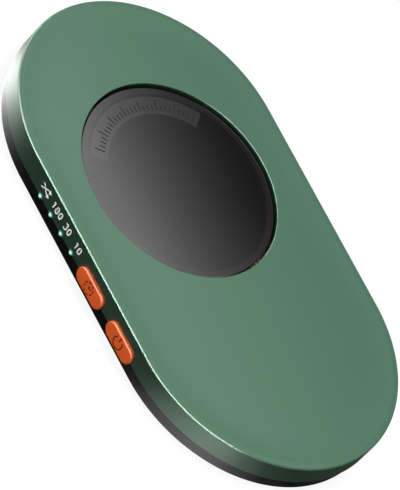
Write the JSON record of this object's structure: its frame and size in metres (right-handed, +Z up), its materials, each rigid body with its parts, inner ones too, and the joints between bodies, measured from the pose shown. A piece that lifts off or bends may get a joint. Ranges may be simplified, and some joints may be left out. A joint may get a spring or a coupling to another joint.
{
  "type": "mouse jiggler",
  "caption": "Slim platform with a motor-driven turntable sunk in its top, which moves the mouse that stands on it; side push buttons and status lights.",
  "frame": {"origin": "on the resting plane under the feet, below the middle of the body", "axes": "+X away from the side with the buttons, +Y along the body toward the turntable end, +Z up"},
  "size_m": [0.0788, 0.136, 0.0107],
  "materials": {
    "cover_green": "matt grey-green plastic",
    "base_black": "satin black plastic",
    "foot_rubber": "matt rubber",
    "steel_screw": "zinc plated steel",
    "disc_dark": "glossy near-black plastic",
    "gear_plastic": "natural acetal",
    "pin_steel": "ground steel",
    "plate_steel": "zinc plated sheet steel",
    "motor_steel": "drawn steel can",
    "brass": "turned brass",
    "board_green": "solder mask over fibreglass",
    "socket_steel": "plated steel",
    "black_moulding": "moulded black plastic",
    "battery_foil": "laminated foil",
    "tape": "adhesive foam tape",
    "connector_white": "moulded nylon",
    "lead_skin": "wire insulation",
    "light_clear": "diffusing light guide",
    "led": "light emitting diode package",
    "button_orange": "satin orange plastic",
    "chip_black": "moulded epoxy"
  },
  "bodies": {
    "housing": {"top_cover": "cover_green", "base_tray": "base_black", "foot_front_left": "foot_rubber", "foot_front_right": "foot_rubber", "foot_rear_left": "foot_rubber", "foot_rear_right": "foot_rubber", "case_screws": "steel_screw", "turntable_spindle": "pin_steel", "thrust_washer": "pin_steel", "spindle_clip": "pin_steel", "gear_plate": "plate_steel", "compound_gear_pin": "pin_steel", "compound_gear_clip": "pin_steel", "motor_can": "motor_steel", "motor_face_plate": "motor_steel", "motor_standoffs": "brass", "motor_screws": "steel_screw", "main_board": "board_green", "board_screws": "steel_screw", "socket_shell": "socket_steel", "socket_tongue": "black_moulding", "battery_cell": "battery_foil", "battery_tape": "tape", "battery_connector": "connector_white", "motor_connector": "connector_white", "battery_leads": "lead_skin", "motor_leads": "lead_skin", "light_guide": "light_clear", "status_light_1": "led", "status_light_2": "led", "status_light_3": "led", "status_light_4": "led", "timer_switch_body": "black_moulding", "power_switch_body": "black_moulding", "controller_chip": "chip_black", "charger_chip": "chip_black", "motor_driver_chip": "chip_black"},
    "turntable": {"turntable_disc": "disc_dark", "turntable_gear": "gear_plastic", "disc_screws": "steel_screw"},
    "compound_gear": {"compound_gear": "gear_plastic"},
    "motor_rotor": {"motor_shaft": "pin_steel", "motor_pinion": "brass"},
    "timer_button": {"timer_button": "button_orange"},
    "timer_plunger": {"timer_switch_plunger": "connector_white"},
    "power_button": {"power_button": "button_orange"},
    "power_plunger": {"power_switch_plunger": "connector_white"}
  },
  "joints": [
    {"name": "turntable_spin", "type": "hinge", "parent": "housing", "child": "turntable", "pos_m": [0, 0.0154, 0.005], "axis": [0, 0, 1], "continuous": true},
    {"name": "compound_gear_spin", "type": "hinge", "parent": "housing", "child": "compound_gear", "pos_m": [0.01133, -0.00576, 0.005], "axis": [0, 0, 1], "continuous": true},
    {"name": "motor_spin", "type": "hinge", "parent": "housing", "child": "motor_rotor", "pos_m": [0.0236, -0.01438, 0.005], "axis": [0, 0, 1], "continuous": true},
    {"name": "timer_button_press", "type": "slide", "parent": "housing", "child": "timer_button", "axis": [1, 0, 0], "range_m": [0, 0.00035], "stiffness_N_per_m": 2500},
    {"name": "timer_plunger_press", "type": "slide", "parent": "housing", "child": "timer_plunger", "axis": [1, 0, 0], "range_m": [0, 0.00035]},
    {"name": "power_button_press", "type": "slide", "parent": "housing", "child": "power_button", "axis": [1, 0, 0], "range_m": [0, 0.00035], "stiffness_N_per_m": 2500},
    {"name": "power_plunger_press", "type": "slide", "parent": "housing", "child": "power_plunger", "axis": [1, 0, 0], "range_m": [0, 0.00035]}
  ],
  "couplings": [
    {"joint": "compound_gear_spin", "follows": "turntable_spin", "ratio": -5},
    {"joint": "motor_spin", "follows": "turntable_spin", "ratio": 20},
    {"joint": "timer_plunger_press", "follows": "timer_button_press", "ratio": 1},
    {"joint": "power_plunger_press", "follows": "power_button_press", "ratio": 1}
  ]
}
